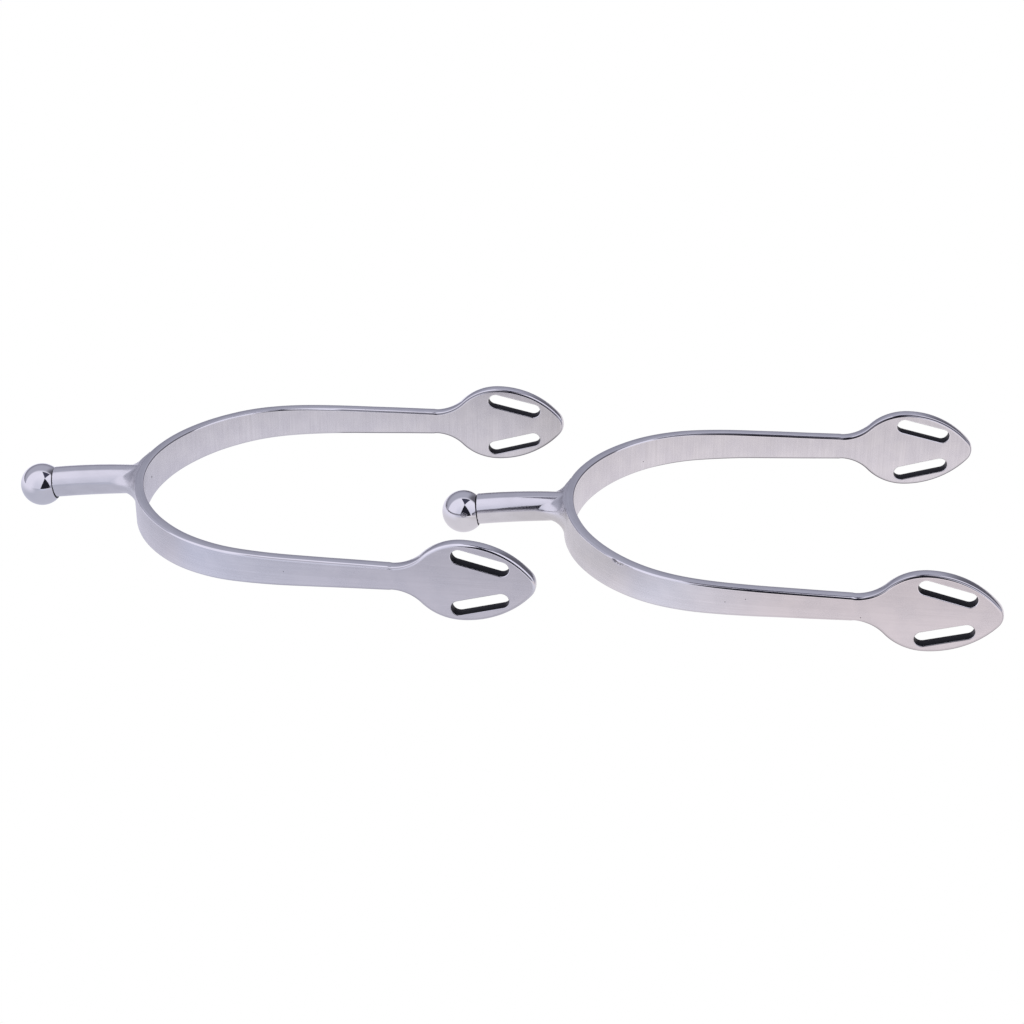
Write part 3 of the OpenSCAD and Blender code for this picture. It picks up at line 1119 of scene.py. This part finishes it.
PURE_WHITE = (1, 1, 1, 1)

# Where the studio's colours give way to one another: degrees up and over from the viewer's side (0) to
# the far side (180), degrees to the right, and for the back's right, how far a direction points right.
FRONT_SPAN = (5, 80)
LEFT_SPAN = (-25, -55)
BACK_SPAN = (140, 175)
BACK_RIGHT_SPAN = (0.2, 0.55)
BEHIND_SPAN = (96, 112)

# Where the table's painted light gives way: metres along Y from front to middle, and for its painted bright
# far left, degrees to the right and the rise of a ray. FLOOR_HALF is half the table's width in metres.
MIDDLE_SPAN = (-0.045, -0.03)
FLOOR_LEFT_SPAN = (-20, -60)
FLOOR_FAR_SPAN = (-0.6, -0.03)
FLOOR_HALF = 3.0

CARD_SHADE = (0.02, 0.02, 0.03, 1)
VALANCE_SHADE = (0.06, 0.06, 0.10, 1)
# Corners of two dark cards in the studio, as metres to the right, towards the viewer and up.
MEET = (0.03, 0.18, 0.33)
CARD = (MEET, (-0.114, 0.33, 0.0), (0.15, 0.18, 0.0))
VALANCE = (MEET, (-0.10, -0.085, 0.54), (0.29, -0.09, 0.52))


def angle_of(tree, rise, run):
    """The angle, in degrees, whose tangent is rise over run."""
    return calc(tree, "MULTIPLY", calc(tree, "ARCTAN2", rise, run), 180 / math.pi)


def surroundings(tree, direction):
    """What polished steel sees above the table: a bright front and left, a grey back, dark at its right."""
    toward = along(tree, direction, TOWARD)
    rightward = along(tree, direction, RIGHTWARD)
    side = angle_of(tree, rightward, toward)
    over = angle_of(tree, along(tree, direction, (0, 0, 1)), toward)
    front = mixed(tree, ramped(tree, over, *FRONT_SPAN), FRONT_LOW, FRONT_HIGH)
    front = mixed(tree, ramped(tree, side, *LEFT_SPAN), front, LEFT_LIGHT)
    back = mixed(tree, ramped(tree, over, *BACK_SPAN), BACK_HIGH, BACK_LOW)
    back = mixed(tree, ramped(tree, rightward, *BACK_RIGHT_SPAN), back, RIGHT_SHADE)
    return mixed(tree, ramped(tree, over, *BEHIND_SPAN), front, back)


def stops(tree, value, listed):
    """A colour from a list of (value, colour) stops."""
    low, high = listed[0][0], listed[-1][0]
    made = add(tree, "ValToRGB", {0: ramped_evenly(tree, value, low, high)})
    ramp = made.color_ramp
    while len(ramp.elements) < len(listed):
        ramp.elements.new(0.5)
    for element, (at, colour) in zip(ramp.elements, listed):
        element.position = (at - low) / (high - low)
        element.color = colour
    return made.outputs["Color"]


def floor_painted_light(tree, place, direction):
    """The painted light that the table glows with for reflections, brighter towards the far left."""
    x = along(tree, place, (1, 0, 0))
    y = along(tree, place, (0, 1, 0))
    front = stops(tree, x, FRONT_STOPS)
    middle = stops(tree, x, MIDDLE_STOPS)
    table = mixed(tree, ramped(tree, y, *MIDDLE_SPAN), front, middle)
    side = angle_of(tree, along(tree, direction, RIGHTWARD), along(tree, direction, TOWARD))
    rise = along(tree, direction, (0, 0, 1))
    left = calc(tree, "MULTIPLY", ramped(tree, side, *FLOOR_LEFT_SPAN), ramped(tree, rise, *FLOOR_FAR_SPAN))
    return mixed(tree, left, table, LEFT_LIGHT)


def glowing(tree, colour, kind, output_kind):
    """Shows pure white to the camera and a colour to every other ray."""
    ray = add(tree, "LightPath").outputs["Is Camera Ray"]
    shown = mixed(tree, ray, colour, PURE_WHITE)
    glow = add(tree, kind, {"Color": shown, "Strength": 1.0})
    put_out(tree, glow, output_kind)


def studio():
    """The world: white to the camera, the studio's colours to every other ray."""
    world = bpy.data.worlds.new("studio")
    world.use_nodes = True
    tree = world.node_tree
    tree.nodes.clear()
    direction = add(tree, "TexCoord").outputs["Generated"]
    glowing(tree, surroundings(tree, direction), "Background", "OutputWorld")
    bpy.context.scene.world = world


def staged(name, corners, material):
    """A flat piece of the studio."""
    mesh = bpy.data.meshes.new(name)
    mesh.from_pydata(corners, [], [tuple(range(len(corners)))])
    mesh.materials.append(material)
    made = bpy.data.objects.new(name, mesh)
    bpy.context.scene.collection.objects.link(made)
    return made


def floor():
    """The table, white to the camera and large enough to fill the view; to other rays it glows with painted
    light.
    """
    half = FLOOR_HALF
    material, tree = new_material("pale_floor")
    geometry = add(tree, "NewGeometry")
    direction = scaled(tree, geometry.outputs["Incoming"], (-1, -1, -1))
    colour = floor_painted_light(tree, geometry.outputs["Position"], direction)
    # Painted light: the table glows, white to the camera and with the colour above to reflections.
    glowing(tree, colour, "Emission", "OutputMaterial")
    staged("floor", [(-half, -half, 0), (half, -half, 0), (half, half, 0), (-half, half, 0)], material)


def card(name, corners, shade):
    """A dark card that the steel mirrors but the camera does not see."""
    material, tree = new_material(name)
    glow = add(tree, "Emission", {"Color": shade, "Strength": 1.0})
    put_out(tree, glow)
    placed = [
        tuple(right * r + toward * t + up * u for r, t, u in zip(RIGHTWARD, TOWARD, (0, 0, 1)))
        for right, toward, up in corners
    ]
    staged(name, placed, material).visible_camera = False


def camera():
    """The camera at the viewing angle, slightly rolled."""
    forward = Vector((-math.sin(AZ) * math.cos(EL), math.cos(AZ) * math.cos(EL), -math.sin(EL)))
    right = Vector(RIGHTWARD)
    up = right.cross(forward)
    roll = math.radians(VIEW_ROLL)
    rolled_right = right * math.cos(roll) - up * math.sin(roll)
    rolled_up = right * math.sin(roll) + up * math.cos(roll)
    data = bpy.data.cameras.new("camera")
    data.lens = LENS
    data.sensor_width = SENSOR
    data.clip_start = NEAR_CLIP
    data.clip_end = FAR_CLIP
    made = bpy.data.objects.new("camera", data)
    bpy.context.scene.collection.objects.link(made)
    turn = Matrix((rolled_right, rolled_up, -forward)).transposed().to_4x4()
    made.matrix_world = Matrix.Translation(Vector(VIEW_TARGET) - forward * VIEW_DISTANCE) @ turn
    bpy.context.scene.camera = made


# ---- the pair ----

# Each finish: its tint and worn tint, its roughness, its grain (noise per mm along the piece and in the two
# directions across it), the depth of its lines and blotches in mm, how much its lines change the shade, how
# much painted shade makes it darker above than below (lighter above where negative), and the roughness added
# at the neck's foot (ground).
BRUSHED = dict(
    tint=(0.70, 0.69, 0.70, 1), worn=(0.66, 0.655, 0.67, 1), roughness=0.24, grain=(0.05, 5, 1),
    line_bump=0.003, blotch_bump=0.02, line_shade=0.04, painted_height_shade=0.07,
)
CROSS_BRUSHED = dict(
    tint=(0.69, 0.68, 0.69, 1), worn=(0.65, 0.64, 0.66, 1), roughness=0.25, grain=(5, 0.12, 1),
    line_bump=0.005, blotch_bump=0.02, line_shade=0.06, painted_height_shade=0.07,
)
RUBBED = dict(
    tint=(0.70, 0.70, 0.71, 1), worn=(0.66, 0.66, 0.68, 1), roughness=0.13, grain=(0.08, 4, 4),
    line_bump=0.002, blotch_bump=0.01,
)
POLISHED = dict(
    tint=(0.72, 0.715, 0.73, 1), worn=(0.68, 0.675, 0.69, 1), roughness=0.07, grain=(0.1, 4, 4),
    line_bump=0.001, blotch_bump=0.01, line_shade=0.02, painted_height_shade=-0.12,
)
MIRRORED = dict(
    tint=(0.74, 0.735, 0.745, 1), worn=(0.71, 0.705, 0.72, 1), roughness=0.035, grain=(1, 1, 1),
    line_bump=0.0006, blotch_bump=0.002, line_shade=0.01,
)
NECK_STEEL = dict(
    tint=(0.71, 0.705, 0.72, 1), worn=(0.67, 0.665, 0.68, 1), grain=(0.3, 2, 2),
    line_bump=0.002, blotch_bump=0.01, line_shade=0.02, ground=0.16,
)
NECK_ROUGH = {"left": 0.15, "right": 0.08}
SLOT_BLACK = (0.008, 0.008, 0.011, 1)
SEAM_DIRT = (0.03, 0.028, 0.03, 1)


def pair():
    """Both spurs, with the finishes they share."""
    outer = steel("brushed_steel", **BRUSHED)
    inner = steel("cross_brushed_steel", **CROSS_BRUSHED)
    edge = steel("rubbed_edge_steel", **RUBBED)
    rim = steel("polished_rim_steel", **POLISHED)
    wall = dark_gap("near_black_slot", SLOT_BLACK)
    seam = dark_gap("dirty_seam", SEAM_DIRT)
    mirror = steel("mirror_ball_steel", **MIRRORED)
    for side in SIDES:
        skin = steel(f"{side}_neck_steel", roughness=NECK_ROUGH[side], **NECK_STEEL)
        heel_band(side, [outer, inner, edge, wall, rim])
        neck(side, [skin, seam])
        ball(side, [mirror, seam])
        ball_pin(side, [mirror])


bpy.context.scene.view_settings.view_transform = "Standard"
pair()
studio()
floor()
card("dark_card", CARD, CARD_SHADE)
card("dim_card", VALANCE, VALANCE_SHADE)
camera()
bpy.context.view_layer.update()
